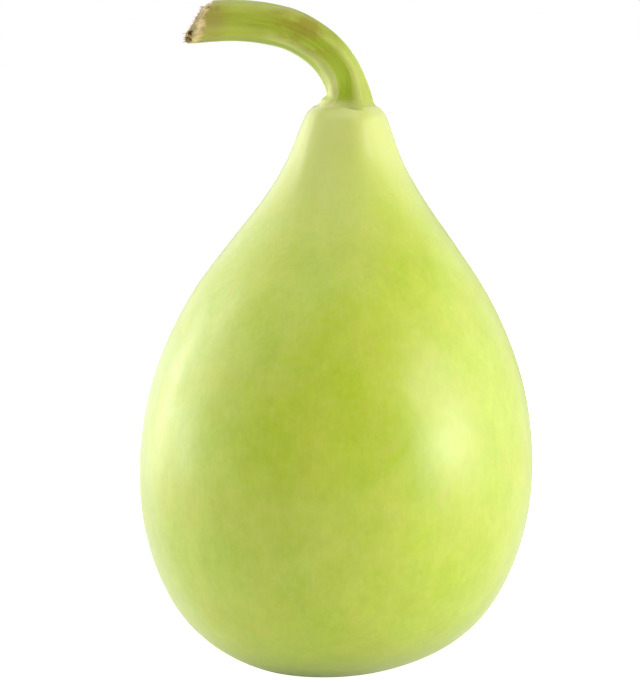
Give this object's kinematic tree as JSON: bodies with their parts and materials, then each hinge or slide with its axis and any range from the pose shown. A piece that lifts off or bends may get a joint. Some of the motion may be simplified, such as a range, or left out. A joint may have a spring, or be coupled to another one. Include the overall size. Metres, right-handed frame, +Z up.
{
  "type": "bottle gourd",
  "caption": "Pear-shaped pale green bottle gourd standing on its blossom end, with a narrow shoulder and a ridged green stem that bends over to a slanting dried cut.",
  "frame": {"origin": "on the surface that the gourd stands on, under the middle of the fruit's widest part", "axes": "+Z up from the blossom end to the stem, -Y towards the viewer of the picture, -X to the side that the stem bends to"},
  "size_m": [0.1302, 0.1282, 0.2212],
  "materials": {
    "gourd_skin": "smooth, waxy yellow-green skin of a young gourd, faintly mottled, satin",
    "gourd_stem": "fresh green, ridged and striated stem, matt, with a dried tan cut end"
  },
  "bodies": {
    "root": {"fruit": "gourd_skin", "stem": "gourd_stem"}
  },
  "joints": []
}
